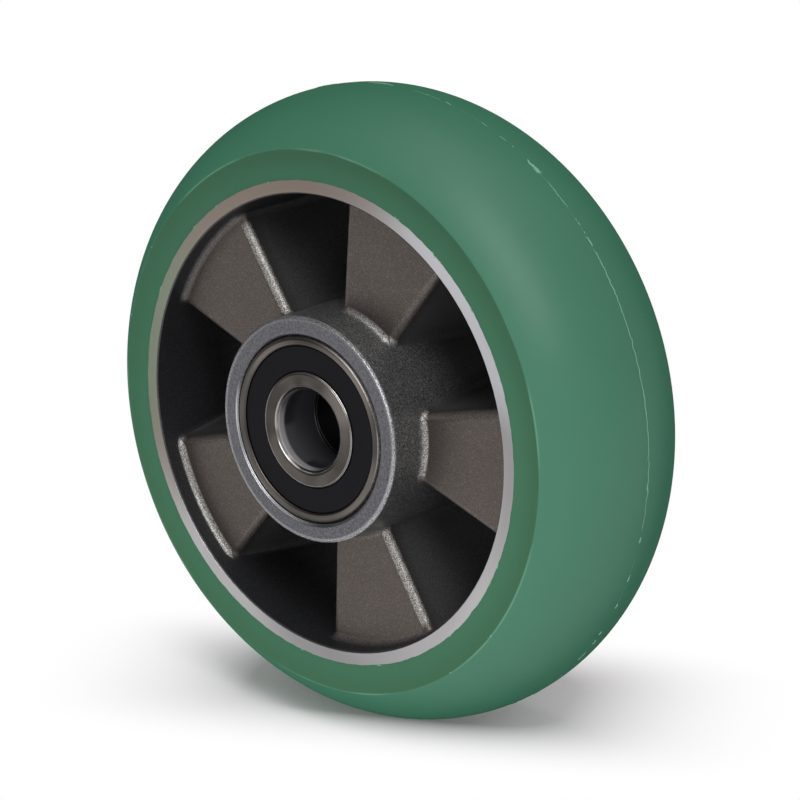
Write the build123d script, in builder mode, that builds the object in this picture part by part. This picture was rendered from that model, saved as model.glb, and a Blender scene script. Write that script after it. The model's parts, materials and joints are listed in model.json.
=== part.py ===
from build123d import *
from math import cos, radians, sin, sqrt, tan
import os

os.makedirs("parts", exist_ok=True)

# Castor wheel: a soft polyurethane tyre cast onto an aluminium wheel centre,
# which turns on two sealed ball bearings held apart by a spacer tube.
# Millimetres. The wheel turns about the Y axis, the origin is the middle of the
# axle bore, +Z is up and the front face looks along -Y.

# Whole wheel
wheel_diameter = 160.0
tread_width = 50.0
hub_length = 60.0

# Tyre
tyre_thickness = 19.8
side_band = 7.3
side_dish = 0.3
crease_round = 0.8

# Wheel centre: rim, hub and the castellated web between them
rim_wall = 3.35
rim_lip_chamfer = 0.35
hub_wall = 4.5
hub_edge_round = 0.5
bearing_shoulder = 3.5
seat_lead_in = 0.25
panel_count = 5
panel_turn = 20.8
panel_half_angle = 17.0
panel_recess = 5.3
web_thickness = 5.0
wall_draft = 6.0
ring_draft = 1.5
panel_edge_round = 2.3
pocket_floor_fillet = 2.4
web_root_fillet = 1.9

# Sealed deep-groove ball bearing, 20 x 47 x 14
bearing_bore = 20.0
bearing_outer = 47.0
bearing_width = 14.0
bearing_corner = 1.0
ball_count = 8
ball_diameter = 7.938
race_clearance = 0.02
groove_ratio = 1.05
groove_depth = 1.55

# Pressed ribbon cage and its rivets
cage_sheet = 0.6
cage_band = 3.2
pocket_clearance = 0.1
rivet_radius = 0.5
rivet_head_radius = 0.9
rivet_head_height = 0.4

# Seals: moulded rubber on a steel ring, snapped into the outer ring
seal_sink = 0.35
seal_thickness = 1.2
seal_ledge = 1.7
seal_groove = 0.5
mouth_chamfer = 0.2
seal_edge_gap = 0.12
seal_edge_chamfer = 0.25
insert_sheet = 0.3
insert_cover = 0.5
lip_width = 1.1
lip_track = 0.5
lip_clearance = 0.05
lip_point = 0.25

# Spacer tube between the inner rings
spacer_bore_clearance = 0.25
spacer_wall = 2.4
spacer_chamfer = 0.4

# How closely an edge is matched to its place, and how far a radial edge's middle is from the rings
edge_match = 0.01
ring_margin = 1.0

# Radii and stations that follow from the sizes above
wheel_radius = wheel_diameter / 2
rim_radius = wheel_radius - tyre_thickness
crease_radius = rim_radius + side_band
rim_face = tread_width / 2
hub_face = hub_length / 2
seat_radius = bearing_outer / 2
hub_radius = seat_radius + hub_wall
panel_face = rim_face - panel_recess
pocket_floor = panel_face - web_thickness

bore_radius = bearing_bore / 2
bearing_half = bearing_width / 2
bearing_centre = hub_face - bearing_half
pitch_radius = (bearing_bore + bearing_outer) / 4
ball_radius = ball_diameter / 2
groove_radius = ball_radius * groove_ratio
outer_race = pitch_radius + ball_radius + race_clearance
inner_race = pitch_radius - ball_radius - race_clearance
outer_shoulder = outer_race - groove_depth
inner_shoulder = inner_race + groove_depth
groove_half = sqrt(groove_radius**2 - (groove_radius - groove_depth) ** 2)

seal_mouth = outer_shoulder + seal_ledge
seal_bead = seal_mouth + seal_groove
seal_front = bearing_half - seal_sink
seal_back = seal_front - seal_thickness
insert_front = seal_front - insert_cover
insert_back = insert_front - insert_sheet
track_radius = inner_shoulder - lip_track
lip_radius = track_radius + lip_clearance
insert_inner = inner_shoulder + lip_width
insert_outer = seal_mouth - seal_edge_gap


def wheel_plane(y, facing=1):
    """A plane square to the axle. Its angles run from +Z, towards +X when it faces +Y."""
    return Plane(origin=(0, y, 0), x_dir=(0, 0, 1), z_dir=(0, facing, 0))


def bearing_section(side, facing):
    """A plane through the axle at a bearing's middle: x is the radius, y the way it faces."""
    return Plane(origin=(0, side * bearing_centre, 0), x_dir=(1, 0, 0), z_dir=(0, 0, facing))


def keep(piece, label):
    """Label a finished piece and write its STEP file."""
    piece.part.label = label
    export_step(piece.part, f"parts/{label}.step")


def distance_from_axle(point):
    return sqrt(point.X**2 + point.Z**2)


def hub_wall_at(y):
    """Radius of the drafted hub barrel, y being negative at the open side of the die."""
    return hub_radius + (y + hub_face) * tan(radians(ring_draft))


def rim_wall_at(y):
    """Radius of the drafted inside of the rim."""
    return rim_radius - rim_wall - (y + rim_face) * tan(radians(ring_draft))


def is_radial(edge, y):
    """True for an edge that runs from the hub to the rim at the height y."""
    middle = edge.center()
    between_rings = hub_wall_at(y) + ring_margin < distance_from_axle(middle) < rim_wall_at(y) - ring_margin
    return between_rings and abs(middle.Y - y) < edge_match


def on_ring_wall(edge, wall_at):
    """True for an edge along which the panels and pockets meet a drafted ring wall."""
    points = [edge.position_at(share) for share in (0.1, 0.5, 0.9)]
    in_web = edge.geom_type != GeomType.LINE and all(point.Y > -panel_face - edge_match for point in points)
    return in_web and all(abs(distance_from_axle(point) - wall_at(point.Y)) < edge_match for point in points)


def web_die(half_angle, turn):
    """One half of the casting die between hub and rim: the space left free in front of the web.

    It is an annular recess that goes down to the pocket floors, less the raised panels. The
    panels' side walls are drafted, so the panels widen towards the floors.
    """
    opening = -hub_face - hub_wall
    hub_edge = hub_edge_round - hub_face
    lip_edge = rim_lip_chamfer - rim_face
    near = seat_radius / 2
    far = rim_radius + hub_wall
    spread = tan(radians(half_angle))
    with BuildPart() as die:
        with BuildSketch(Plane.XY):
            with BuildLine():
                TangentArc(
                    (hub_wall_at(hub_edge), hub_edge),
                    (hub_wall_at(hub_edge) - hub_edge_round, -hub_face),
                    tangent=(0, -1),
                )
                Polyline(
                    (hub_wall_at(hub_edge) - hub_edge_round, -hub_face),
                    (hub_wall_at(hub_edge) - hub_edge_round, opening),
                    (rim_wall_at(lip_edge) + rim_lip_chamfer, opening),
                    (rim_wall_at(lip_edge) + rim_lip_chamfer, -rim_face),
                    (rim_wall_at(lip_edge), lip_edge),
                    (rim_wall_at(pocket_floor), pocket_floor),
                    (hub_wall_at(pocket_floor), pocket_floor),
                    (hub_wall_at(hub_edge), hub_edge),
                )
            make_face()
        revolve(axis=Axis.Y)
        with BuildSketch(wheel_plane(-panel_face)):
            with PolarLocations(0, panel_count, start_angle=turn):
                Polygon(
                    (near, -near * spread),
                    (far, -far * spread),
                    (far, far * spread),
                    (near, near * spread),
                    align=None,
                )
        extrude(amount=pocket_floor + panel_face + web_thickness, taper=-wall_draft, mode=Mode.SUBTRACT)
        fillet(die.edges().filter_by(lambda edge: is_radial(edge, pocket_floor)), pocket_floor_fillet)
        fillet(die.edges().filter_by(lambda edge: is_radial(edge, -panel_face)), panel_edge_round)
        fillet(die.edges().filter_by(lambda edge: on_ring_wall(edge, hub_wall_at)), web_root_fillet)
        fillet(die.edges().filter_by(lambda edge: on_ring_wall(edge, rim_wall_at)), web_root_fillet)
    return die


# Tyre: one moulding with a crowned tread and a slightly dished band down each side
with BuildPart() as tyre:
    with BuildSketch(Plane.XY) as tyre_section:
        middle = (rim_radius + crease_radius) / 2
        with BuildLine():
            ThreePointArc((rim_radius, -rim_face), (middle, side_dish - rim_face), (crease_radius, -rim_face))
            ThreePointArc((crease_radius, -rim_face), (wheel_radius, 0), (crease_radius, rim_face))
            ThreePointArc((crease_radius, rim_face), (middle, rim_face - side_dish), (rim_radius, rim_face))
            Line((rim_radius, rim_face), (rim_radius, -rim_face))
        make_face()
        creases = tyre_section.vertices().filter_by(lambda corner: abs(corner.X - crease_radius) < edge_match)
        fillet(creases, crease_round)
    revolve(axis=Axis.Y)
keep(tyre, "tyre")


# Wheel centre: one casting, with its rim faces, hub faces and bearing seats machined
front_die = web_die(panel_half_angle, panel_turn)
rear_die = web_die(180 / panel_count - panel_half_angle, panel_turn + 180 / panel_count)

with BuildPart() as wheel_centre:
    with BuildSketch(wheel_plane(-rim_face)):
        Circle(rim_radius)
    extrude(amount=tread_width)
    with BuildSketch(wheel_plane(-hub_face)):
        Circle(hub_radius + hub_wall)
    extrude(amount=hub_length)
    add(front_die.part, mode=Mode.SUBTRACT)
    add(mirror(rear_die.part, about=Plane.XZ), mode=Mode.SUBTRACT)
    with BuildSketch(Plane.XY):
        seat_end = hub_face - bearing_width
        with BuildLine():
            Polyline(
                (0, -hub_face),
                (seat_radius + seat_lead_in, -hub_face),
                (seat_radius, seat_lead_in - hub_face),
                (seat_radius, -seat_end),
                (seat_radius - bearing_shoulder, -seat_end),
                (seat_radius - bearing_shoulder, seat_end),
                (seat_radius, seat_end),
                (seat_radius, hub_face - seat_lead_in),
                (seat_radius + seat_lead_in, hub_face),
                (0, hub_face),
                close=True,
            )
        make_face()
    revolve(axis=Axis.Y, mode=Mode.SUBTRACT)
keep(wheel_centre, "wheel_centre")


# Spacer tube: carries the clamping force of the axle from one inner ring to the other
with BuildPart() as spacer_tube:
    with BuildSketch(wheel_plane(bearing_width - hub_face)):
        Circle(bore_radius + spacer_bore_clearance + spacer_wall)
        Circle(bore_radius + spacer_bore_clearance, mode=Mode.SUBTRACT)
    extrude(amount=hub_length - 2 * bearing_width)
    chamfer(spacer_tube.edges().filter_by(GeomType.CIRCLE), spacer_chamfer)
keep(spacer_tube, "spacer_tube")


def outer_ring(side):
    """Outer ring: round corners, a groove for the balls and a snap-in seat for each seal."""
    with BuildPart() as ring:
        with BuildSketch(bearing_section(side, side)):
            with BuildLine():
                ThreePointArc(
                    (outer_shoulder, -groove_half),
                    (outer_race, 0),
                    (outer_shoulder, groove_half),
                )
                Polyline(
                    (outer_shoulder, groove_half),
                    (outer_shoulder, seal_back),
                    (seal_bead, seal_back),
                    (seal_bead, insert_front),
                    (seal_mouth, seal_front),
                    (seal_mouth, bearing_half - mouth_chamfer),
                    (seal_mouth + mouth_chamfer, bearing_half),
                    (seat_radius - bearing_corner, bearing_half),
                )
                CenterArc(
                    (seat_radius - bearing_corner, bearing_half - bearing_corner), bearing_corner, 0, 90
                )
                Line(
                    (seat_radius, bearing_half - bearing_corner),
                    (seat_radius, bearing_corner - bearing_half),
                )
                CenterArc(
                    (seat_radius - bearing_corner, bearing_corner - bearing_half), bearing_corner, -90, 90
                )
                Polyline(
                    (seat_radius - bearing_corner, -bearing_half),
                    (seal_mouth + mouth_chamfer, -bearing_half),
                    (seal_mouth, mouth_chamfer - bearing_half),
                    (seal_mouth, -seal_front),
                    (seal_bead, -insert_front),
                    (seal_bead, -seal_back),
                    (outer_shoulder, -seal_back),
                    (outer_shoulder, -groove_half),
                )
            make_face()
        revolve(axis=Axis.Y)
    return ring


def inner_ring(side):
    """Inner ring: round bore corners, a groove for the balls and a track for each seal lip."""
    land = seal_front - lip_point
    with BuildPart() as ring:
        with BuildSketch(bearing_section(side, side)):
            with BuildLine():
                ThreePointArc(
                    (inner_shoulder, -groove_half),
                    (inner_race, 0),
                    (inner_shoulder, groove_half),
                )
                Polyline(
                    (inner_shoulder, groove_half),
                    (inner_shoulder, seal_back - lip_track),
                    (track_radius, seal_back),
                    (track_radius, land),
                    (inner_shoulder, land + lip_point),
                    (inner_shoulder, bearing_half - mouth_chamfer),
                    (inner_shoulder - mouth_chamfer, bearing_half),
                    (bore_radius + bearing_corner, bearing_half),
                )
                CenterArc(
                    (bore_radius + bearing_corner, bearing_half - bearing_corner), bearing_corner, 90, 90
                )
                Line(
                    (bore_radius, bearing_half - bearing_corner),
                    (bore_radius, bearing_corner - bearing_half),
                )
                CenterArc(
                    (bore_radius + bearing_corner, bearing_corner - bearing_half), bearing_corner, 180, 90
                )
                Polyline(
                    (bore_radius + bearing_corner, -bearing_half),
                    (inner_shoulder - mouth_chamfer, -bearing_half),
                    (inner_shoulder, mouth_chamfer - bearing_half),
                    (inner_shoulder, -land - lip_point),
                    (track_radius, -land),
                    (track_radius, -seal_back),
                    (inner_shoulder, lip_track - seal_back),
                    (inner_shoulder, -groove_half),
                )
            make_face()
        revolve(axis=Axis.Y)
    return ring


def seal_insert(side, facing):
    """Steel ring that stiffens a seal."""
    with BuildPart() as insert:
        with BuildSketch(bearing_section(side, facing)):
            with BuildLine():
                Polyline(
                    (insert_inner, insert_back),
                    (insert_outer, insert_back),
                    (insert_outer, insert_front),
                    (insert_inner, insert_front),
                    close=True,
                )
            make_face()
        revolve(axis=Axis.Y)
    return insert


def seal_rubber(side, facing):
    """Moulded rubber of a seal: face, snap-in bead and lip, open behind the steel ring."""
    bead = seal_bead - race_clearance
    with BuildPart() as rubber:
        with BuildSketch(bearing_section(side, facing)):
            with BuildLine():
                Polyline(
                    (lip_radius, insert_back),
                    (lip_radius + lip_track, seal_back),
                    (insert_inner + lip_point, seal_back),
                    (insert_inner + lip_point, insert_back),
                    (insert_inner, insert_back),
                    (insert_inner, insert_front),
                    (insert_outer, insert_front),
                    (insert_outer, insert_back),
                    (outer_shoulder + lip_width, insert_back),
                    (outer_shoulder + lip_width, seal_back),
                    (bead, seal_back),
                    (bead, insert_front),
                    (seal_mouth - seal_edge_gap, seal_front - seal_edge_chamfer),
                    (seal_mouth - seal_edge_gap - seal_edge_chamfer, seal_front),
                    (inner_shoulder + seal_edge_gap + seal_edge_chamfer, seal_front),
                    (inner_shoulder + seal_edge_gap, seal_front - seal_edge_chamfer),
                    (lip_radius, insert_front),
                    close=True,
                )
            make_face()
        revolve(axis=Axis.Y)
    return rubber


def cage_half(side, facing):
    """One pressed half of the ribbon cage: a flat band with a round pocket over each ball."""
    middle = wheel_plane(side * bearing_centre, facing)
    shell = ball_radius + pocket_clearance + cage_sheet
    with BuildPart(middle) as half:
        with BuildSketch(middle) as band:
            Circle(pitch_radius + cage_band / 2)
            Circle(pitch_radius - cage_band / 2, mode=Mode.SUBTRACT)
        extrude(amount=cage_sheet)
        with PolarLocations(pitch_radius, ball_count):
            Sphere(shell)
        extrude(band.sketch, amount=shell, mode=Mode.INTERSECT)
        with PolarLocations(pitch_radius, ball_count):
            Sphere(ball_radius + pocket_clearance, mode=Mode.SUBTRACT)
        with PolarLocations(pitch_radius, ball_count, start_angle=180 / ball_count):
            Cylinder(rivet_radius, 4 * cage_sheet, mode=Mode.SUBTRACT)
    return half


def cage_rivets(side):
    """The rivets that hold the two cage halves together, one between each pair of balls."""
    with BuildPart(wheel_plane(side * bearing_centre)) as rivets:
        with PolarLocations(pitch_radius, ball_count, start_angle=180 / ball_count):
            Cylinder(rivet_radius, 2 * cage_sheet)
        for facing in (-1, 1):
            with Locations((0, 0, facing * (cage_sheet + rivet_head_height / 2))):
                with PolarLocations(pitch_radius, ball_count, start_angle=180 / ball_count):
                    Cylinder(rivet_head_radius, rivet_head_height)
        heads = rivets.edges().filter_by(GeomType.CIRCLE).group_by(Axis.Y)
        fillet(heads[0] + heads[-1], rivet_head_height / 2)
    return rivets


def ball(side, index):
    """One bearing ball in its place on the pitch circle."""
    angle = radians(360 * index / ball_count)
    with BuildPart() as sphere:
        with Locations((pitch_radius * sin(angle), side * bearing_centre, pitch_radius * cos(angle))):
            Sphere(ball_radius)
    return sphere


# Two bearings, one in each end of the hub
for end, side in (("front", -1), ("rear", 1)):
    keep(outer_ring(side), f"{end}_outer_ring")
    keep(inner_ring(side), f"{end}_inner_ring")
    for place, facing in (("outer", side), ("inner", -side)):
        keep(seal_rubber(side, facing), f"{end}_{place}_seal")
        keep(seal_insert(side, facing), f"{end}_{place}_seal_insert")
        keep(cage_half(side, facing), f"{end}_cage_{place}_half")
    keep(cage_rivets(side), f"{end}_cage_rivets")
    for index in range(ball_count):
        keep(ball(side, index), f"{end}_ball_{index + 1}")
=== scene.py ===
import json
import math
import random

import bmesh
import bpy
from mathutils import Matrix, Vector, noise


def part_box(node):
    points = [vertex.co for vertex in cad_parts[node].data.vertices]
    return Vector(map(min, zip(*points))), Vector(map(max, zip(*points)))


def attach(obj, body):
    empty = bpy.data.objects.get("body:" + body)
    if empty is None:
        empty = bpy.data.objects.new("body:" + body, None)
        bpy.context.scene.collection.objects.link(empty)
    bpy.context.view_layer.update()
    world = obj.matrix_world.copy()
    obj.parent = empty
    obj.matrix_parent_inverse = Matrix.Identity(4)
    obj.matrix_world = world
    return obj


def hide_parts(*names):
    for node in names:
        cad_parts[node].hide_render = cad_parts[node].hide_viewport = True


# A castor wheel standing on a white ground: green polyurethane tyre, cast aluminium
# centre with machined faces, and two sealed ball bearings. Sizes are in millimetres, and
# outlines are (radius, place along the axle); the scene itself is in metres.

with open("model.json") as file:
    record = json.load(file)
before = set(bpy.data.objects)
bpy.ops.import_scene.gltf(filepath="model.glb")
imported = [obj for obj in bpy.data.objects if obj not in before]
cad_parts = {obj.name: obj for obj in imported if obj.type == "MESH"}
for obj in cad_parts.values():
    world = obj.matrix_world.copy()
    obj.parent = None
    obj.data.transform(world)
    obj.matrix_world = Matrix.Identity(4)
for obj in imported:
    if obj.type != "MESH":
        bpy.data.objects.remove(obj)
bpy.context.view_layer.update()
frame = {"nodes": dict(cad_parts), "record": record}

MM = 0.001


def half_size(node, axis):
    """Largest distance of a CAD node from the wheel's middle along one axis, in millimetres."""
    low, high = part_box(node)
    return max(abs(low[axis]), abs(high[axis])) / MM


# Sizes taken from the frame
wheel_radius = half_size("tyre", 2)
tread_half = half_size("tyre", 1)
rim_radius = half_size("wheel_centre", 2)
hub_half = half_size("wheel_centre", 1)
bearing_radius = half_size("front_outer_ring", 2)

# Tyre
side_band = 7.3
side_dish = 0.3
crease_soft = 0.28
band_steps = 14
crease_steps = 5
crown_steps = 30
tyre_steps = 540
crease_radius = rim_radius + side_band
crown_rise = wheel_radius - crease_radius
crown_arc_radius = (crown_rise**2 + tread_half**2) / (2 * crown_rise)
crown_centre = wheel_radius - crown_arc_radius
crease_angle = math.asin(tread_half / crown_arc_radius)

# Casting: the radii, the depths from the middle plane and the widths that its finish follows
rim_face_width = 3.6
rim_inner = rim_radius - rim_face_width
rim_wall = 55.9
rim_root = 53.0
hub_root = 28.4
hub_radius = 28.0
hub_bevel = 0.9
hub_mouth = 0.8
pocket_depth = 14.0
panel_start = 19.0
panel_depth = 19.7
edge_round = 2.3

# Bearings
bearing_width = 14.0
bore_radius = 10.0
ring_corner = 1.0
inner_shoulder = 14.3
outer_shoulder = 20.9
bearing_back = hub_half - bearing_width

# Bevels of the bearing rings: from one radius to another, and the height at each
ring_bevels = (
    (bearing_radius - 1.5, bearing_radius - 0.1, 0.0, -1.0),
    (outer_shoulder, outer_shoulder + 0.5, -0.25, 0.0),
    (inner_shoulder - 0.7, inner_shoulder, 0.0, -0.5),
    (bore_radius, bore_radius + 1.5, -0.9, 0.0),
)

# Directions on the wheel's face as (right, up), seen from the front: the side the light comes from,
# the side whose edges get a painted highlight, and the sides of the rim's painted shade and painted
# green reflection
lit_side = (0.77, 0.64)
edge_highlight_side = (0.85, 0.52)
shaded_side = (-0.766, 0.643)
green_reflection_side = (-1.0, 0.26)

# Torn flash along the middle of the tread, left by the mould's parting line: start and end in
# degrees from the top towards the right, height, first and last half width, and sideways start
flash_marks = (
    (4.5, 12.6, 0.03, 0.06, 0.07, 0.0),
    (12.5, 14.2, 0.10, 0.10, 0.26, 0.0),
    (21.0, 22.6, 0.05, 0.12, 0.10, 0.0),
    (25.4, 27.2, 0.07, 0.10, 0.14, 0.0),
    (28.4, 29.0, 0.08, 0.12, 0.12, 0.1),
    (31.9, 35.9, 0.16, 0.10, 1.0, 0.2),
    (37.4, 43.8, 0.07, 0.10, 0.12, -0.1),
    (45.6, 46.2, 0.16, 0.16, 0.10, -0.5),
    (46.4, 47.1, 0.12, 0.10, 0.14, -0.1),
    (48.3, 48.8, 0.14, 0.14, 0.14, 0.0),
    (49.1, 51.4, 0.22, 0.14, 0.26, -0.9),
    (50.0, 102.0, 0.07, 0.13, 0.12, 0.0),
    (51.2, 61.6, 0.13, 0.16, 0.14, 0.0),
    (62.7, 63.5, 0.16, 0.14, 0.12, 0.1),
    (67.5, 71.0, 0.06, 0.10, 0.10, 0.0),
    (75.5, 81.4, 0.13, 0.14, 0.14, 0.0),
    (83.5, 84.3, 0.12, 0.14, 0.14, 0.0),
    (87.3, 88.1, 0.10, 0.12, 0.12, 0.0),
    (92.4, 94.3, 0.22, 0.12, 0.26, 0.0),
    (95.0, 101.5, 0.05, 0.10, 0.12, 0.0),
    (102.3, 103.6, 0.24, 0.12, 0.40, 0.0),
    (109.6, 111.4, 0.20, 0.12, 0.30, 0.0),
    (116.0, 117.2, 0.20, 0.14, 0.34, 0.0),
    (122.6, 123.8, 0.22, 0.14, 0.34, 0.0),
    (125.0, 126.3, 0.18, 0.14, 0.24, 0.0),
)

# Flash placed by chance: on the far side and the low side of the tread, as nicks on the crease
# and as shreds at the rim. A pair is the least and the most. Turns, lengths and gaps are in
# degrees, and the tread is free of flash from flash_free_below to as far on the other side
flash_seed = 21
flash_free_below = 158.0
flash_margin = 2
chance_first_width = 0.12
far_length = (0.6, 7.0)
far_height = (0.05, 0.2)
far_last_width = (0.1, 0.3)
far_lean = (-0.3, 0.3)
far_gap = (0.6, 6.0)
low_length = (0.6, 3.0)
low_height = (0.06, 0.18)
low_last_width = 0.24
low_gap = (1.5, 6.0)
crease_nick_turn = 127.2
nick_turns = (140, 350)
nicks_a_side = 3
nick_before = 0.3
nick_after = 0.35
nick_height = 0.16
nick_first_width = 0.25
nick_last_width = 0.14
nick_slope = 50
shreds_a_side = 16
shred_length = (0.3, 2.4)
shred_first_width = (0.08, 0.2)
shred_last_width = (0.08, 0.22)
shred_height = (0.02, 0.05)
edge_sink = 0.05

# Section of a strip of flash in half widths and heights, and how pale each of its points is
strip_profile = (
    (-1.0, 0.0),
    (-0.7, 0.55),
    (-0.25, 1.0),
    (0.25, 1.0),
    (0.7, 0.55),
    (1.0, 0.0),
    (0.0, -0.6),
)
strip_marks = (0.0, 0.7, 1.0, 1.0, 0.7, 0.0, 0.0)
strip_sink = 0.05
strip_step = 0.16
least_steps = 6
ragged_share = 0.7
taper_rate = 7
thin_end = 0.35
straighten_rate = 5
slow_wander = 0.45
quick_wander = 0.35

# Photograph's view
camera_place = Vector((0.4830, -0.5445, 0.2171))
camera_target = Vector((0.02973, -0.030, 0.01343))
camera_lens = 137.8

# Floor, and the rounded oval on it that takes the shadow, in metres and degrees
floor_level = -wheel_radius * MM
floor_half_size = 6.0
shadow_middle = (-0.0029, 0.0113)
shadow_turn = 27.5
shadow_half_length = 0.0736
shadow_half_width = 0.0348
shadow_squareness = 4.0
shadow_core = 0.57
shadow_edge = 1.39
white_in_core = 0.07


# Node trees


def group_tree(name, inputs, outputs):
    """An empty shader node group: float inputs with their values, and float outputs."""
    tree = bpy.data.node_groups.new(name, "ShaderNodeTree")
    for label, value in inputs:
        socket = tree.interface.new_socket(name=label, in_out="INPUT", socket_type="NodeSocketFloat")
        socket.default_value = value
    for label in outputs:
        tree.interface.new_socket(name=label, in_out="OUTPUT", socket_type="NodeSocketFloat")
    return tree


def add_node(tree, kind, **settings):
    made = tree.nodes.new(kind)
    for key, value in settings.items():
        setattr(made, key, value)
    return made


def feed(tree, target, source):
    """Link a socket, or set a plain value, on a node's input."""
    if isinstance(source, bpy.types.NodeSocket):
        tree.links.new(source, target)
    else:
        target.default_value = source


def maths(tree, operation, first, second=0.0, clamp=False):
    made = add_node(tree, "ShaderNodeMath", operation=operation, use_clamp=clamp)
    feed(tree, made.inputs[0], first)
    feed(tree, made.inputs[1], second)
    return made.outputs[0]


def added(tree, first, second):
    return maths(tree, "ADD", first, second)


def times(tree, first, second):
    return maths(tree, "MULTIPLY", first, second)


def both(tree, first, second):
    """Share of a place that lies in both masks."""
    return times(tree, first, second)


def either(tree, first, second):
    """Share of a place that lies in the stronger of two masks."""
    return maths(tree, "MAXIMUM", first, second)


def outside(tree, mask):
    """Share of a place that lies outside a mask."""
    return maths(tree, "SUBTRACT", 1.0, mask)


def length_of(tree, first, second):
    """Length of a direction with two components."""
    return maths(tree, "SQRT", added(tree, times(tree, first, first), times(tree, second, second)))


def toward(tree, right, up, side):
    """How far a direction points to a side, each given by its shares to the right and upward."""
    return added(tree, times(tree, right, side[0]), times(tree, up, side[1]))


def ramp_between(tree, value, low, high, out_low=0.0, out_high=1.0):
    """Smooth change from out_low to out_high while value goes from low to high."""
    made = add_node(tree, "ShaderNodeMapRange", interpolation_type="SMOOTHSTEP")
    feed(tree, made.inputs["Value"], value)
    feed(tree, made.inputs["From Min"], low)
    feed(tree, made.inputs["From Max"], high)
    feed(tree, made.inputs["To Min"], out_low)
    feed(tree, made.inputs["To Max"], out_high)
    return made.outputs["Result"]


def above(tree, value, start, width):
    """Mask that fades in from start over a width."""
    return ramp_between(tree, value, start, start + width)


def below(tree, value, start, width):
    """Mask that fades out from start over a width."""
    return ramp_between(tree, value, start, start + width, 1.0, 0.0)


def by_mask(tree, mask, outside_it, inside_it):
    """Smooth change from one value outside a mask to another one inside it."""
    return ramp_between(tree, mask, 0.0, 1.0, outside_it, inside_it)


def blend(tree, share, first, second, kind, mode="MIX"):
    made = add_node(tree, "ShaderNodeMix", data_type=kind, blend_type=mode)
    feed(tree, made.inputs["Factor"], share)
    feed(tree, made.inputs["A"], first)
    feed(tree, made.inputs["B"], second)
    return made.outputs["Result"]


def blend_colour(tree, share, first, second):
    return blend(tree, share, first, second, "RGBA")


def blend_value(tree, share, first, second):
    return blend(tree, share, first, second, "FLOAT")


def toned(tree, colour, tone):
    """A colour multiplied by a tone."""
    return blend(tree, 1.0, colour, tone, "RGBA", "MULTIPLY")


def coordinates_of(tree, kind):
    return add_node(tree, "ShaderNodeTexCoord").outputs[kind]


def components(tree, vector):
    """The X, Y and Z outputs of a vector."""
    parts = add_node(tree, "ShaderNodeSeparateXYZ")
    tree.links.new(vector, parts.inputs[0])
    return parts.outputs


def noise_at(tree, scale, detail=2.0, roughness=0.5, coordinates=None):
    made = add_node(tree, "ShaderNodeTexNoise")
    if coordinates is None:
        coordinates = coordinates_of(tree, "Object")
    tree.links.new(coordinates, made.inputs["Vector"])
    feed(tree, made.inputs["Scale"], scale)
    made.inputs["Detail"].default_value = detail
    made.inputs["Roughness"].default_value = roughness
    return made.outputs["Fac"]


def give_results(tree, **results):
    """Link a group's results to its outputs, and give the group."""
    end = add_node(tree, "NodeGroupOutput")
    for label, value in results.items():
        tree.links.new(value, end.inputs[label.capitalize()])
    return tree


def place_on_wheel_group():
    """Radius and distance from the middle plane in millimetres, and the direction from the axle.

    Lowleft and Upright are masks of the wheel's lower left and upper right sides, measured from the
    side the light comes from; the finishes place painted highlights, shade and sheen with them.
    """
    tree = group_tree("place_on_wheel", (), ("Radius", "Depth", "Right", "Up", "Lowleft", "Upright"))
    where = components(tree, coordinates_of(tree, "Object"))
    radius = length_of(tree, where["X"], where["Z"])
    right = maths(tree, "DIVIDE", where["X"], radius)
    up = maths(tree, "DIVIDE", where["Z"], radius)
    lit = toward(tree, right, up, lit_side)
    return give_results(
        tree,
        radius=maths(tree, "DIVIDE", radius, MM),
        depth=maths(tree, "DIVIDE", maths(tree, "ABSOLUTE", where["Y"]), MM),
        right=right,
        up=up,
        lowleft=ramp_between(tree, lit, -0.95, -0.2, 1.0, 0.0),
        upright=ramp_between(tree, lit, 0.85, 0.97),
    )


def turning_marks_and_sheen_group():
    """Fine concentric tool marks and painted sheen: a height, the four soft rays of painted sheen on a
    turned face, and a tone of the marks, painted sheen sweeps and rays.
    """
    inputs = (("Radius", 0.0), ("Pitch", 0.12), ("Right", 0.0), ("Up", 0.0))
    tree = group_tree("turning_marks_and_sheen", inputs, ("Height", "Tone", "Rays"))
    start = add_node(tree, "NodeGroupInput").outputs
    along = add_node(tree, "ShaderNodeCombineXYZ")
    tree.links.new(maths(tree, "DIVIDE", start["Radius"], start["Pitch"]), along.inputs["X"])
    lines = noise_at(tree, 1.0, 2.0, 0.6, along.outputs[0])
    noise_layer = 21.0
    layers_a_millimetre = 0.07
    around = add_node(tree, "ShaderNodeCombineXYZ")
    tree.links.new(start["Right"], around.inputs["X"])
    tree.links.new(start["Up"], around.inputs["Y"])
    layer = added(tree, times(tree, start["Radius"], layers_a_millimetre), noise_layer)
    tree.links.new(layer, around.inputs["Z"])
    # Painted sheen: slow sweeps around the face and four soft rays
    sheen_sweeps = ramp_between(tree, noise_at(tree, 1.7, 1.0, 0.5, around.outputs[0]), 0.3, 0.7)
    slanted = times(tree, times(tree, start["Right"], start["Up"]), 2.0)
    rays = times(tree, slanted, slanted)
    # The tone mixes the real marks with the painted sheen
    tone = added(tree, times(tree, lines, 0.3), times(tree, sheen_sweeps, 0.3))
    tone = added(tree, tone, times(tree, rays, 0.4))
    return give_results(tree, height=lines, tone=tone, rays=rays)


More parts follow.
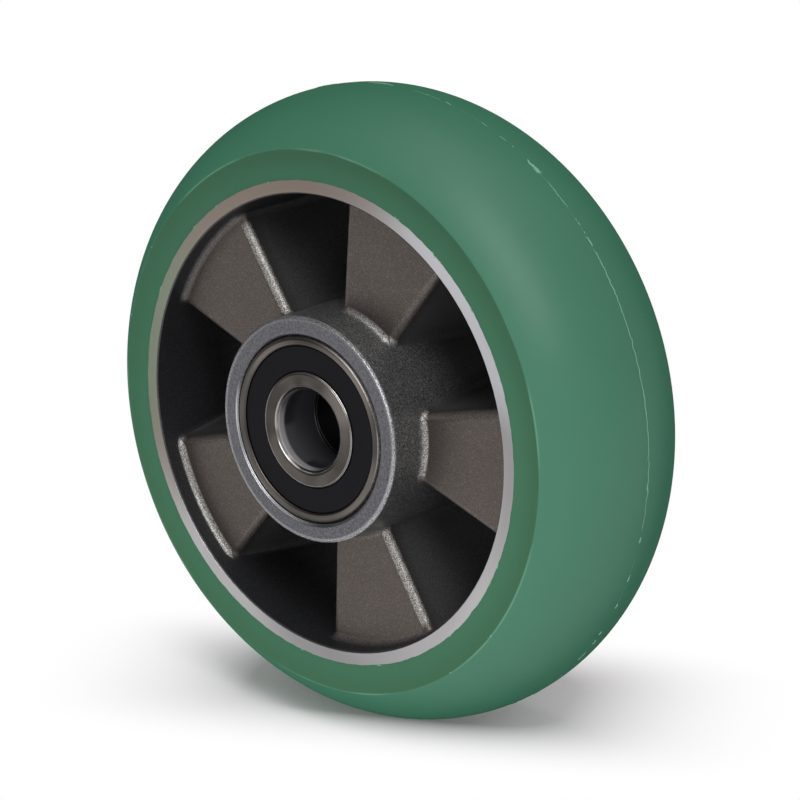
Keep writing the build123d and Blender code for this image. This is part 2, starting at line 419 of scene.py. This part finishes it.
def fine_grain_group():
    """Grain of a blasted or moulded skin: a height and a mask of single bright grains."""
    tree = group_tree("fine_grain", (("Scale", 2000.0),), ("Height", "Speckle"))
    scale = add_node(tree, "NodeGroupInput").outputs["Scale"]
    where = coordinates_of(tree, "Object")
    cells = add_node(tree, "ShaderNodeTexVoronoi", feature="F1")
    tree.links.new(where, cells.inputs["Vector"])
    tree.links.new(scale, cells.inputs["Scale"])
    bright = add_node(tree, "ShaderNodeSeparateColor")
    tree.links.new(cells.outputs["Color"], bright.inputs[0])
    speckle = ramp_between(tree, bright.outputs["Red"], 0.8, 1.0)
    return give_results(tree, height=noise_at(tree, scale, 3.0, 0.65, where), speckle=speckle)


def tone_drift_group():
    """Slow change of tone over a surface, around 1, from large and middle-sized clouds."""
    tree = group_tree("tone_drift", (("Amount", 0.05),), ("Tone",))
    amount = add_node(tree, "NodeGroupInput").outputs["Amount"]
    large = times(tree, noise_at(tree, 22.0, 2.0, 0.5), 0.6)
    small = times(tree, noise_at(tree, 130.0, 3.0, 0.55), 0.4)
    swing = times(tree, maths(tree, "SUBTRACT", added(tree, large, small), 0.5), amount)
    return give_results(tree, tone=added(tree, times(tree, swing, 2.0), 1.0))


place_on_wheel = place_on_wheel_group()
turning_marks_and_sheen = turning_marks_and_sheen_group()
fine_grain = fine_grain_group()
tone_drift = tone_drift_group()


def use_group(tree, group, **values):
    """Place a node group in a tree, feed its inputs and give its outputs."""
    made = add_node(tree, "ShaderNodeGroup", node_tree=group)
    for key, value in values.items():
        feed(tree, made.inputs[key.capitalize()], value)
    return made.outputs


def tool_marks_and_sheen(tree, place, pitch):
    """Turning marks and their painted sheen at a place on the wheel, with their pitch in millimetres.
    """
    return use_group(
        tree,
        turning_marks_and_sheen,
        radius=place["Radius"],
        pitch=pitch,
        right=place["Right"],
        up=place["Up"],
    )


def drift_of(tree, amount):
    return use_group(tree, tone_drift, amount=amount)["Tone"]


def new_finish(name):
    """An empty material, its node tree and the inputs of its Principled shader."""
    made = bpy.data.materials.new(name)
    made.use_nodes = True
    tree = made.node_tree
    return made, tree, tree.nodes["Principled BSDF"].inputs


def bump(tree, height, strength=1.0, unit=1.0):
    """A normal from a height whose value 1 stands for a unit in millimetres."""
    made = add_node(tree, "ShaderNodeBump")
    made.inputs["Strength"].default_value = strength
    made.inputs["Distance"].default_value = unit * MM
    tree.links.new(height, made.inputs["Height"])
    return made.outputs["Normal"]


def rgb(red, green, blue):
    """A colour as it is read off a screen, 0 to 255, turned into light values."""
    values = []
    for level in (red, green, blue):
        share = level / 255
        values.append(share / 12.92 if share <= 0.04045 else ((share + 0.055) / 1.055) ** 2.4)
    return (*values, 1.0)


# Materials


def polyurethane():
    """Cast polyurethane: satin green, darker in the side bands, paler where flash was torn, with a
    broken painted highlight along the crease.
    """
    near_rim = rgb(60, 102, 79)
    near_crease = rgb(57, 96, 72)
    crown = rgb(62, 113, 90)
    pale = rgb(126, 172, 148)
    made, tree, shader = new_finish("polyurethane")
    place = use_group(tree, place_on_wheel)
    radius = place["Radius"]
    across_band = ramp_between(tree, radius, rim_radius + 1.0, crease_radius - 0.8)
    off_band = above(tree, radius, crease_radius - 0.15, 0.25)
    colour = blend_colour(tree, across_band, near_rim, near_crease)
    colour = blend_colour(tree, off_band, colour, crown)
    colour = toned(tree, colour, drift_of(tree, 0.07))

    # Painted highlight along the crease, broken up by noise
    on_crease = both(
        tree,
        above(tree, radius, crease_radius - 0.35, 0.3),
        below(tree, radius, crease_radius + 0.05, 0.35),
    )
    painted_crease_highlight = ramp_between(tree, noise_at(tree, 45.0, 3.0), 0.42, 0.62, 0.0, 0.3)
    colour = blend_colour(tree, both(tree, on_crease, painted_crease_highlight), colour, pale)
    parting_line = ramp_between(tree, place["Depth"], 0.04, 0.16, 0.22, 0.0)
    broken = ramp_between(tree, noise_at(tree, 90.0, 3.0), 0.45, 0.6)
    colour = blend_colour(tree, both(tree, parting_line, broken), colour, pale)
    mark = add_node(tree, "ShaderNodeAttribute", attribute_name="flash_mark")
    feed(tree, shader["Base Color"], blend_colour(tree, mark.outputs["Fac"], colour, pale))

    grain = use_group(tree, fine_grain, scale=900.0)
    feed(tree, shader["Normal"], bump(tree, grain["Height"], 0.12, 0.05))
    feed(tree, shader["Roughness"], ramp_between(tree, noise_at(tree, 60.0), 0.3, 0.7, 0.5, 0.6))
    shader["Specular IOR Level"].default_value = 0.0
    shader["Coat Roughness"].default_value = 0.42
    facing = add_node(tree, "ShaderNodeLayerWeight")
    facing.inputs["Blend"].default_value = 0.5
    gloss = ramp_between(tree, facing.outputs["Facing"], 0.25, 0.72, 0.62, 0.03)
    feed(tree, shader["Coat Weight"], times(tree, gloss, by_mask(tree, off_band, 0.25, 1.0)))
    return made


def web_edges(tree, place):
    """Mask of the raised panels' rounded edges and of their roots at the hub and the rim, the rim
    roots mostly to the lower left where a painted highlight falls on them.
    """
    radius = place["Radius"]
    depth = place["Depth"]
    off_hub = above(tree, radius, hub_root, 0.4)
    on_web = both(tree, off_hub, below(tree, radius, rim_root, 2.0))
    rounded = both(
        tree,
        above(tree, depth, panel_depth - edge_round, 0.3 * edge_round),
        below(tree, depth, panel_depth - 0.2, 0.15),
    )
    at_hub = both(tree, off_hub, below(tree, radius, hub_root + 1.4, 0.4))
    at_rim = both(
        tree,
        above(tree, radius, rim_root + 1.6, 0.4),
        below(tree, radius, rim_root + 3.5, 0.2),
    )
    # The rim roots count fully only to the lower left, for their painted highlight
    at_rim = both(tree, at_rim, ramp_between(tree, place["Lowleft"], 0.93, 1.0, 0.3, 1.0))
    roots = both(tree, either(tree, at_hub, at_rim), above(tree, depth, panel_depth, 0.1))
    return either(tree, both(tree, rounded, on_web), roots)


def facing_edge_highlight(tree):
    """Mask of the surfaces that face the upper right, where the edges get a painted highlight."""
    looks = components(tree, coordinates_of(tree, "Normal"))
    facing = toward(tree, looks["X"], looks["Z"], edge_highlight_side)
    facing = maths(tree, "DIVIDE", facing, length_of(tree, looks["X"], looks["Z"]))
    return ramp_between(tree, facing, 0.5, 0.85, 0.15, 1.0)


def cast_skin(tree, place, grain, on_edge):
    """Colour of the blasted skin, coloured by place as painted light: warm brownish panel faces as a
    painted reflection, a dark rim wall as painted shade, lighter pockets and hub barrel as painted
    fill light, bright grains as painted glints, and a painted highlight on edges facing the upper
    right.
    """
    hub_barrel = rgb(106, 107, 107)
    pocket = rgb(106, 106, 108)
    panel = rgb(84, 77, 73)
    wall = rgb(68, 69, 72)
    painted_glint = rgb(190, 190, 188)
    # Painted reflection, shade and fill light: one casting coloured by place
    off_hub = above(tree, place["Radius"], hub_root, 0.4)
    on_panel = both(tree, off_hub, ramp_between(tree, place["Depth"], pocket_depth, panel_start))
    skin = blend_colour(tree, off_hub, hub_barrel, pocket)
    skin = blend_colour(tree, on_panel, skin, panel)
    skin = blend_colour(tree, above(tree, place["Radius"], rim_wall, 0.4), skin, wall)
    sandy = ramp_between(tree, grain["Height"], 0.36, 0.64, 0.2, 2.3)
    skin = toned(tree, skin, blend_value(tree, by_mask(tree, off_hub, 0.8, 0.3), 1.0, sandy))
    # Painted glints: single grains made bright
    sparkle = times(tree, grain["Speckle"], by_mask(tree, off_hub, 0.75, 0.08))
    skin = blend_colour(tree, sparkle, skin, painted_glint)
    # Painted highlight on the edges that face the upper right
    edge_highlight = ramp_between(tree, grain["Height"], 0.4, 0.6)
    edge_highlight = blend_colour(tree, edge_highlight, rgb(78, 75, 71), rgb(192, 189, 184))
    return blend_colour(tree, both(tree, on_edge, facing_edge_highlight(tree)), skin, edge_highlight)


def rim_colour(tree, place, marks):
    """Turned rim face with painted light: a painted highlight to the upper right, painted shade to the
    upper left and a painted green reflection to the left.
    """
    glare = rgb(230, 231, 242)
    painted_green_reflection = rgb(112, 150, 124)
    film = rgb(64, 110, 86)
    # The tone brings the painted sheen of the turning marks
    lit_face = blend_colour(tree, marks["Tone"], rgb(140, 138, 138), rgb(200, 198, 199))
    # Painted highlight to the upper right
    lit_face = blend_colour(tree, times(tree, place["Upright"], 0.32), lit_face, glare)
    # Painted shade to the upper left
    shaded_face = blend_colour(tree, marks["Tone"], rgb(136, 124, 115), rgb(148, 136, 127))
    to_shaded_side = toward(tree, place["Right"], place["Up"], shaded_side)
    colour = blend_colour(tree, ramp_between(tree, to_shaded_side, 0.1, 0.75), lit_face, shaded_face)
    # Painted green reflection to the left
    to_reflection_side = toward(tree, place["Right"], place["Up"], green_reflection_side)
    colour = blend_colour(tree, ramp_between(tree, to_reflection_side, 0.85, 1.03, 0.0, 0.4), colour, painted_green_reflection)
    ragged_radius = added(tree, place["Radius"], times(tree, noise_at(tree, 420.0, 3.0), 0.55))
    return blend_colour(tree, above(tree, ragged_radius, rim_radius + 0.16, 0.08), colour, film)


def hub_colour(tree, grain):
    """Turned hub face: grainy grey with small pits."""
    grainy = ramp_between(tree, grain["Height"], 0.35, 0.65)
    grey = blend_colour(tree, grainy, rgb(84, 84, 88), rgb(118, 117, 122))
    mottle = ramp_between(tree, noise_at(tree, 1300.0, 3.0, 0.6), 0.35, 0.65, 0.8, 1.2)
    pits = ramp_between(tree, noise_at(tree, 800.0, 1.0, 0.5), 0.24, 0.3, 0.35, 1.0)
    return toned(tree, grey, times(tree, mottle, pits))


def cast_aluminium():
    """Blasted casting with turned rim and hub faces, and with painted light on its skin, its rim face
    and the hub's mouth.
    """
    made, tree, shader = new_finish("cast_aluminium")
    place = use_group(tree, place_on_wheel)
    radius = place["Radius"]
    depth = place["Depth"]
    low_left = place["Lowleft"]
    grain = use_group(tree, fine_grain, scale=3800.0)
    drift = drift_of(tree, 0.16)
    marks = tool_marks_and_sheen(tree, place, 0.12)
    on_edge = web_edges(tree, place)
    on_rim = both(
        tree,
        above(tree, depth, tread_half - 0.12, 0.1),
        above(tree, radius, rim_inner - 0.3, 0.2),
    )
    on_hub = both(
        tree,
        above(tree, depth, hub_half - 0.3, 0.2),
        above(tree, radius, bearing_radius - 1.0, 0.1),
    )
    on_hub_edge = both(
        tree,
        above(tree, depth, hub_half - 0.9, 0.3),
        above(tree, radius, hub_radius - 1.2, 0.7),
    )
    turned = either(tree, on_rim, on_hub)
    in_mouth = below(tree, radius, bearing_radius + 0.5 * hub_mouth, 0.5 * hub_mouth)
    # Lower left of the hub's mouth, where a highlight is painted
    bright_metal = both(tree, both(tree, on_hub, in_mouth), ramp_between(tree, low_left, 0.3, 0.9))

    colour = toned(tree, cast_skin(tree, place, grain, on_edge), drift)
    colour = blend_colour(tree, on_rim, colour, rim_colour(tree, place, marks))
    colour = blend_colour(tree, on_hub, colour, toned(tree, hub_colour(tree, grain), drift))
    wear_and_highlight = both(tree, on_hub_edge, ramp_between(tree, grain["Height"], 0.38, 0.58))
    colour = blend_colour(tree, wear_and_highlight, colour, rgb(196, 196, 198))
    # Painted highlight on the hub's mouth
    colour = blend_colour(tree, bright_metal, colour, rgb(206, 206, 210))
    feed(tree, shader["Base Color"], colour)

    rough = blend_value(tree, turned, by_mask(tree, grain["Speckle"], 0.42, 0.28), 0.36)
    rough = blend_value(tree, on_hub_edge, rough, 0.44)
    feed(tree, shader["Roughness"], blend_value(tree, bright_metal, rough, 0.26))
    feed(tree, shader["Metallic"], by_mask(tree, turned, 0.75, 1.0))

    calm = by_mask(tree, on_edge, 0.3, 1.0)
    height = blend_value(tree, on_rim, times(tree, grain["Height"], calm), marks["Height"])
    height = times(tree, height, by_mask(tree, bright_metal, 0.07, 0.01))
    mouth = ramp_between(tree, radius, bearing_radius, bearing_radius + hub_mouth, -0.6, 0.0)
    mouth = times(tree, mouth, ramp_between(tree, low_left, 0.0, 0.8, 0.4, 1.0))
    shoulder = ramp_between(tree, radius, hub_radius - hub_bevel, hub_radius, 0.0, -0.35)
    feed(tree, shader["Normal"], bump(tree, added(tree, height, added(tree, mouth, shoulder))))
    return made


def ring_corners(tree, place):
    """Mask of the rings' polished corners, at their outer face and at the back of the bore."""
    radius = place["Radius"]
    depth = place["Depth"]
    outer_corner = above(tree, radius, bearing_radius - ring_corner, 0.3 * ring_corner)
    bore_corner = below(tree, radius, bore_radius + 0.7 * ring_corner, 0.3 * ring_corner)
    shoulder = both(
        tree,
        above(tree, radius, inner_shoulder - 0.5, 0.3),
        below(tree, radius, inner_shoulder + 0.1, 0.2),
    )
    at_face = above(tree, depth, hub_half - 2.0, 0.5)
    at_back = both(
        tree,
        above(tree, depth, bearing_back - 0.4, 0.1),
        below(tree, depth, bearing_back + 1.0, 0.4),
    )
    on_face = either(tree, either(tree, outer_corner, bore_corner), shoulder)
    return either(tree, both(tree, on_face, at_face), both(tree, bore_corner, at_back))


def ring_tone(tree, place, marks):
    """Tone of a turned ring with painted sheen: its painted rays fainter to the lower left and on most
    of the inner ring, and a painted highlight to the upper right.
    """
    on_inner = below(tree, place["Radius"], inner_shoulder + 1.0, 1.0)
    unlit_inner = both(tree, on_inner, outside(tree, place["Upright"]))
    faint = either(tree, unlit_inner, place["Lowleft"])
    missing = times(tree, times(tree, marks["Rays"], faint), 0.3)
    painted_shine = added(tree, marks["Tone"], times(tree, place["Upright"], 0.1))
    return maths(tree, "SUBTRACT", painted_shine, missing, clamp=True)


def bore_colour(tree, place):
    """Dark ground bore, darkest near its mouth, with a painted highlight to the lower left near the
    mouth and a brighter one at the mouth itself, strongest to the lower left.
    """
    near_mouth = above(tree, place["Depth"], hub_half - 8.0, 4.0)
    colour = blend_colour(tree, near_mouth, rgb(92, 92, 97), rgb(58, 58, 63))
    # Painted highlight to the lower left near the mouth
    wear_and_highlight = both(tree, near_mouth, ramp_between(tree, place["Lowleft"], 0.9, 1.0, 0.0, 0.4))
    colour = blend_colour(tree, wear_and_highlight, colour, rgb(138, 137, 140))
    # Brighter painted highlight at the mouth, strongest to the lower left
    at_mouth = above(tree, place["Depth"], hub_half - 2.8, 0.9)
    at_mouth = both(tree, at_mouth, ramp_between(tree, place["Lowleft"], 0.0, 0.8, 0.25, 1.0))
    return blend_colour(tree, at_mouth, colour, rgb(202, 200, 202))


def ground_steel(name, dark, pale, pitch, roughness):
    """Ground or turned steel: fine marks round the axle with painted sheen, polished corners, a darker
    bore with painted highlights.
    """
    bright_metal = rgb(172, 168, 165)
    groove_height = 0.06
    made, tree, shader = new_finish(name)
    place = use_group(tree, place_on_wheel)
    radius = place["Radius"]
    marks = tool_marks_and_sheen(tree, place, pitch)
    corners = ring_corners(tree, place)
    in_bore = below(tree, radius, bore_radius + 0.05, 0.2)

    colour = blend_colour(tree, ring_tone(tree, place, marks), dark, pale)
    colour = blend_colour(tree, corners, colour, bright_metal)
    colour = blend_colour(tree, in_bore, colour, bore_colour(tree, place))
    feed(tree, shader["Base Color"], toned(tree, colour, drift_of(tree, 0.1)))

    feed(tree, shader["Metallic"], by_mask(tree, in_bore, 1.0, 0.6))
    rough = ramp_between(tree, marks["Tone"], 0.2, 0.8, roughness, roughness + 0.1)
    rough = blend_value(tree, corners, rough, 0.2)
    feed(tree, shader["Roughness"], blend_value(tree, in_bore, rough, 0.36))

    groove = times(tree, marks["Height"], outside(tree, corners))
    height = times(tree, groove, groove_height)
    for start, end, start_height, end_height in ring_bevels:
        fall = ramp_between(tree, radius, start, end, start_height, end_height)
        height = added(tree, height, fall)
    feed(tree, shader["Normal"], bump(tree, height))
    return made


def seal_rubber():
    """Moulded black rubber with a matt skin."""
    made, tree, shader = new_finish("seal_rubber")
    grain = use_group(tree, fine_grain, scale=3200.0)
    feed(tree, shader["Base Color"], toned(tree, rgb(10, 10, 14), drift_of(tree, 0.2)))
    feed(tree, shader["Roughness"], ramp_between(tree, grain["Height"], 0.3, 0.7, 0.5, 0.62))
    feed(tree, shader["Normal"], bump(tree, grain["Height"], 0.2, 0.05))
    shader["Specular IOR Level"].default_value = 0.12
    return made


def pressed_steel(name, colour, roughness):
    """Bright sheet or polished steel with light scuffs."""
    made, tree, shader = new_finish(name)
    scuffs = noise_at(tree, 700.0, 4.0, 0.6)
    feed(tree, shader["Base Color"], blend_colour(tree, scuffs, colour, rgb(190, 190, 190)))
    feed(tree, shader["Roughness"], ramp_between(tree, scuffs, 0.3, 0.7, roughness, roughness + 0.12))
    shader["Metallic"].default_value = 1.0
    return made


# Meshes


def finished_piece(name, points, faces):
    """A smooth piece with outward faces, riding the turning wheel."""
    sharp_angle = 50
    mesh = bpy.data.meshes.new(name)
    mesh.from_pydata(points, [], faces)
    work = bmesh.new()
    work.from_mesh(mesh)
    bmesh.ops.recalc_face_normals(work, faces=work.faces)
    work.to_mesh(mesh)
    work.free()
    mesh.polygons.foreach_set("use_smooth", [True] * len(mesh.polygons))
    mesh.set_sharp_from_angle(angle=math.radians(sharp_angle))
    piece = bpy.data.objects.new(name, mesh)
    bpy.context.scene.collection.objects.link(piece)
    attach(piece, "wheel")
    return piece


def on_wheel(radius, along, degrees):
    """A point in metres from its radius and place along the axle in mm, and its angle from the top."""
    angle = math.radians(degrees)
    return (radius * MM * math.sin(angle), along * MM, radius * MM * math.cos(angle))


# Tyre


def band_point(radius):
    """Point of the slightly dished side band."""
    share = (radius - rim_radius) / side_band
    return (radius, tread_half - 4 * side_dish * share * (1 - share))


def crown_point(angle):
    """Point of the crown at an angle of its arc from the middle of the tread."""
    return (crown_centre + crown_arc_radius * math.cos(angle), crown_arc_radius * math.sin(angle))


def tyre_outline():
    """Half of the tyre's section from the rim to the middle of the tread, then its mirror."""
    half = []
    for step in range(band_steps):
        half.append(band_point(rim_radius + (side_band - crease_soft) * step / band_steps))
    crown_end = crease_angle - crease_soft / crown_arc_radius
    start = band_point(crease_radius - crease_soft)
    corner = (crease_radius, tread_half)
    end = crown_point(crown_end)
    for step in range(crease_steps + 1):
        share = step / crease_steps
        a, b, c = (1 - share) ** 2, 2 * share * (1 - share), share**2
        half.append(tuple(a * start[i] + b * corner[i] + c * end[i] for i in range(2)))
    for step in range(1, crown_steps):
        half.append(crown_point(crown_end * (1 - step / crown_steps)))
    front = [(radius, -along) for radius, along in half]
    inside = [(rim_radius, along) for along in (tread_half / 2, 0.0, -tread_half / 2)]
    return front + [(wheel_radius, 0.0)] + list(reversed(half)) + inside


def make_tyre():
    """The moulding: its section turned about the axle."""
    outline = tyre_outline()
    count = len(outline)
    points = []
    faces = []
    for step in range(tyre_steps):
        here = step * count
        there = (step + 1) % tyre_steps * count
        for place, (radius, along) in enumerate(outline):
            after = (place + 1) % count
            points.append(on_wheel(radius, along, 360 * step / tyre_steps))
            faces.append((here + place, here + after, there + after, there + place))
    piece = finished_piece("tyre_moulding", points, faces)
    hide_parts("tyre")
    return piece


# Flash: thin strips that stand on the tyre's skin and taper into it at both ends


def wander(degrees, lean, share):
    """Sideways place of a strip, which starts aside by lean and then wanders a little."""
    aside = lean * max(0.0, 1 - straighten_rate * share)
    aside += slow_wander * noise.noise(Vector((degrees * 0.8, 3.0, 7.0)))
    aside += quick_wander * noise.noise(Vector((degrees * 4.7, 5.0, 1.0)))
    return aside


def add_strip(made, start, end, height, widths, base, out, side, lean=0.0):
    """Add one closed strip between two angles to made, a dict of points, faces and marks.

    base gives the (radius, along) of the skin from the sideways place of the strip, out and side
    are the directions of its height and its width, and lean is how far aside the strip begins.
    """
    steps = max(least_steps, round((end - start) / strip_step))
    first = len(made["points"])
    count = len(strip_profile)
    for step in range(steps + 1):
        share = step / steps
        degrees = start + (end - start) * share
        ragged = 1.0 + ragged_share * noise.noise(Vector((degrees * 4.3, start, 2.0)))
        taper = min(1.0, taper_rate * share, taper_rate * (1 - share))
        tall = height * ragged * taper
        width = widths[0] + (widths[1] - widths[0]) * share
        half_width = width * (thin_end + (1 - thin_end) * taper) * ragged
        radius, along = base(wander(degrees, lean, share))
        for across, level in strip_profile:
            rise = level * tall - (strip_sink if level <= 0 else 0)
            shift = across * half_width
            there = radius + out[0] * rise + side[0] * shift
            beside = along + out[1] * rise + side[1] * shift
            made["points"].append(on_wheel(there, beside, degrees))
        made["marks"].extend(value * taper for value in strip_marks)
    for step in range(steps):
        here = first + step * count
        for place in range(count):
            after = (place + 1) % count
            face = (here + place, here + after, here + count + after, here + count + place)
            made["faces"].append(face)
    made["faces"].append(tuple(first + place for place in range(count)))
    last = first + steps * count
    made["faces"].append(tuple(last + place for place in reversed(range(count))))


def add_tread_flash(made, draw):
    """The parting line: the strips that the photograph shows, then the far and the low side."""

    def tread(aside):
        return (crown_centre + math.sqrt(crown_arc_radius**2 - aside**2), aside)

    def add_tread_strip(start, end, height, widths, lean=0.0):
        add_strip(made, start, end, height, widths, tread, (1, 0), (0, 1), lean)

    for start, end, height, first_width, last_width, lean in flash_marks:
        add_tread_strip(start, end, height, (first_width, last_width), lean)
    degrees = 360 - flash_free_below
    while degrees < 360 + flash_marks[0][0] - flash_margin:
        length = draw.uniform(*far_length)
        height = draw.uniform(*far_height)
        widths = (chance_first_width, draw.uniform(*far_last_width))
        add_tread_strip(degrees, degrees + length, height, widths, draw.uniform(*far_lean))
        degrees += length + draw.uniform(*far_gap)
    degrees = flash_marks[-1][1] + flash_margin
    while degrees < flash_free_below:
        length = draw.uniform(*low_length)
        height = draw.uniform(*low_height)
        add_tread_strip(degrees, degrees + length, height, (chance_first_width, low_last_width))
        degrees += length + draw.uniform(*low_gap)


def add_side_flash(made, draw, end):
    """Nicks on the crease and shreds at the rim's edge, on the front (end -1) or rear (end 1)."""
    slope = math.radians(nick_slope)
    outward = (math.sin(slope), end * math.cos(slope))
    across = (outward[1], -outward[0])

    def crease(aside):
        return (crease_radius - edge_sink, end * (tread_half - edge_sink))

    def rim_edge(aside):
        return (rim_radius - edge_sink + aside, end * tread_half)

    turns = [crease_nick_turn] if end < 0 else []
    turns += [draw.uniform(*nick_turns) for _ in range(nicks_a_side)]
    widths = (nick_first_width, nick_last_width)
    for turn in turns:
        start = turn - nick_before
        add_strip(made, start, turn + nick_after, nick_height, widths, crease, outward, across)
    for _ in range(shreds_a_side):
        turn = draw.uniform(0, 360)
        length = draw.uniform(*shred_length)
        widths = (draw.uniform(*shred_first_width), draw.uniform(*shred_last_width))
        height = draw.uniform(*shred_height)
        add_strip(made, turn, turn + length, height, widths, rim_edge, (0, end), (1, 0))


def make_flash():
    made = {"points": [], "faces": [], "marks": []}
    draw = random.Random(flash_seed)
    add_tread_flash(made, draw)
    for end in (-1, 1):
        add_side_flash(made, draw, end)
    piece = finished_piece("torn_flash", made["points"], made["faces"])
    marks = piece.data.attributes.new("flash_mark", "FLOAT", "POINT")
    marks.data.foreach_set("value", made["marks"])
    return piece


urethane = polyurethane()
for piece in (make_tyre(), make_flash()):
    piece.data.materials.append(urethane)

# Finishes of the CAD nodes

finishes = {
    "cast_aluminium": cast_aluminium(),
    "bearing_steel": ground_steel("bearing_steel", rgb(34, 28, 24), rgb(134, 128, 123), 0.09, 0.3),
    "spacer_steel": ground_steel("spacer_steel", rgb(46, 46, 47), rgb(68, 68, 70), 0.2, 0.4),
    "seal_rubber": seal_rubber(),
    "seal_steel": pressed_steel("seal_steel", rgb(120, 120, 122), 0.3),
    "cage_steel": pressed_steel("cage_steel", rgb(118, 116, 112), 0.32),
    "ball_steel": pressed_steel("ball_steel", rgb(168, 168, 170), 0.08),
}
slot_of = {row["node"]: row["material_slot"] for row in frame["record"]["subparts"]}
for name, piece in frame["nodes"].items():
    finish = finishes.get(slot_of[name])
    if finish is not None:
        piece.data.materials.clear()
        piece.data.materials.append(finish)


# Stage: white ground, lamps, camera


def away_from_shadow(tree):
    """Share of plain white on the floor: little under the wheel, and all of it outside the oval."""
    fitted = add_node(tree, "ShaderNodeMapping", vector_type="TEXTURE")
    fitted.inputs["Location"].default_value = (*shadow_middle, floor_level)
    fitted.inputs["Rotation"].default_value = (0.0, 0.0, math.radians(shadow_turn))
    fitted.inputs["Scale"].default_value = (shadow_half_length, shadow_half_width, 1.0)
    tree.links.new(coordinates_of(tree, "Object"), fitted.inputs["Vector"])
    place = components(tree, fitted.outputs[0])
    lengthwise = maths(tree, "POWER", maths(tree, "ABSOLUTE", place["X"]), shadow_squareness)
    crosswise = maths(tree, "POWER", maths(tree, "ABSOLUTE", place["Y"]), shadow_squareness)
    reach = maths(tree, "POWER", added(tree, lengthwise, crosswise), 1 / shadow_squareness)
    fading = maths(tree, "SQRT", ramp_between(tree, reach, shadow_core, shadow_edge))
    return blend_value(tree, fading, white_in_core, 1.0)


def white_ground():
    """Large floor that is white by itself and keeps the wheel's shadow close around it."""
    mesh = bpy.data.meshes.new("ground")
    reach = floor_half_size
    places = ((-reach, -reach), (reach, -reach), (reach, reach), (-reach, reach))
    mesh.from_pydata([(x, y, floor_level) for x, y in places], [], [(0, 1, 2, 3)])
    piece = bpy.data.objects.new("ground", mesh)
    bpy.context.scene.collection.objects.link(piece)
    made = bpy.data.materials.new("white_ground")
    made.use_nodes = True
    tree = made.node_tree
    tree.nodes.clear()
    matt = add_node(tree, "ShaderNodeBsdfDiffuse")
    matt.inputs["Color"].default_value = (0.93, 0.885, 0.908, 1.0)
    glow = add_node(tree, "ShaderNodeEmission")
    glow.inputs["Color"].default_value = (1.0, 1.0, 1.0, 1.0)
    glow.inputs["Strength"].default_value = 1.0
    path = add_node(tree, "ShaderNodeLightPath").outputs
    seen = either(tree, path["Is Camera Ray"], path["Is Glossy Ray"])
    seen = either(tree, seen, path["Is Transmission Ray"])
    mix = add_node(tree, "ShaderNodeMixShader")
    tree.links.new(both(tree, seen, away_from_shadow(tree)), mix.inputs[0])
    tree.links.new(matt.outputs[0], mix.inputs[1])
    tree.links.new(glow.outputs[0], mix.inputs[2])
    out = add_node(tree, "ShaderNodeOutputMaterial")
    tree.links.new(mix.outputs[0], out.inputs["Surface"])
    mesh.materials.append(made)


def lamp(name, place, size, power, lengthwise):
    """A soft box that looks at the wheel's middle, its first size running lengthwise."""
    data = bpy.data.lights.new(name, "AREA")
    data.shape = "RECTANGLE"
    data.size, data.size_y = size
    data.energy = power
    back = Vector(place).normalized()
    across = Vector(lengthwise).cross(back).normalized()
    along = back.cross(across)
    made = bpy.data.objects.new(name, data)
    turn = Matrix((along, -across, back)).transposed().to_4x4()
    made.matrix_world = Matrix.Translation(place) @ turn
    bpy.context.scene.collection.objects.link(made)
    return made


def from_angles(azimuth, elevation, distance):
    """A place around the wheel: azimuth 0 is in front, 90 to the right."""
    a = math.radians(azimuth)
    e = math.radians(elevation)
    return Vector((math.sin(a) * math.cos(e), -math.cos(a) * math.cos(e), math.sin(e))) * distance


def soft_surround():
    """Even light from all around that is a little weaker from the left."""
    world = bpy.data.worlds.new("studio")
    bpy.context.scene.world = world
    world.use_nodes = True
    tree = world.node_tree
    tree.nodes.clear()
    soft = add_node(tree, "ShaderNodeBackground")
    soft.inputs["Color"].default_value = (1.0, 1.0, 1.0, 1.0)
    rightward = components(tree, coordinates_of(tree, "Generated"))["X"]
    tree.links.new(ramp_between(tree, rightward, -1.0, 0.6, 0.24, 0.46), soft.inputs["Strength"])
    out = add_node(tree, "ShaderNodeOutputWorld")
    tree.links.new(soft.outputs[0], out.inputs["Surface"])


def soft_boxes():
    """A slanting key light, a top light, and a faint one low in front of the wheel."""
    level = (1.0, 0.0, 0.0)
    slanting = (0.656, 0.0, -0.755)
    lamp("key", from_angles(48, 46, 1.1), size=(0.9, 0.35), power=5.5, lengthwise=slanting)
    lamp("top", from_angles(20, 84, 0.9), size=(0.7, 0.7), power=1.6, lengthwise=level)
    low_place = Vector((0.03, -0.36, -0.055))
    low = lamp("low_fill", low_place, size=(0.5, 0.04), power=0.175, lengthwise=level)
    low.rotation_euler = (math.radians(90), 0.0, 0.0)
    low.data.spread = math.radians(70)
    low.visible_camera = False
    low.visible_glossy = False


def camera():
    data = bpy.data.cameras.new("camera")
    data.lens = camera_lens
    data.sensor_width = 36.0
    data.clip_start = 0.05
    data.clip_end = 50.0
    made = bpy.data.objects.new("camera", data)
    made.location = camera_place
    made.rotation_mode = "QUATERNION"
    made.rotation_quaternion = (camera_target - camera_place).to_track_quat("-Z", "Y")
    bpy.context.scene.collection.objects.link(made)
    bpy.context.scene.camera = made


white_ground()
soft_surround()
soft_boxes()
camera()
bpy.context.scene.view_settings.view_transform = "Standard"
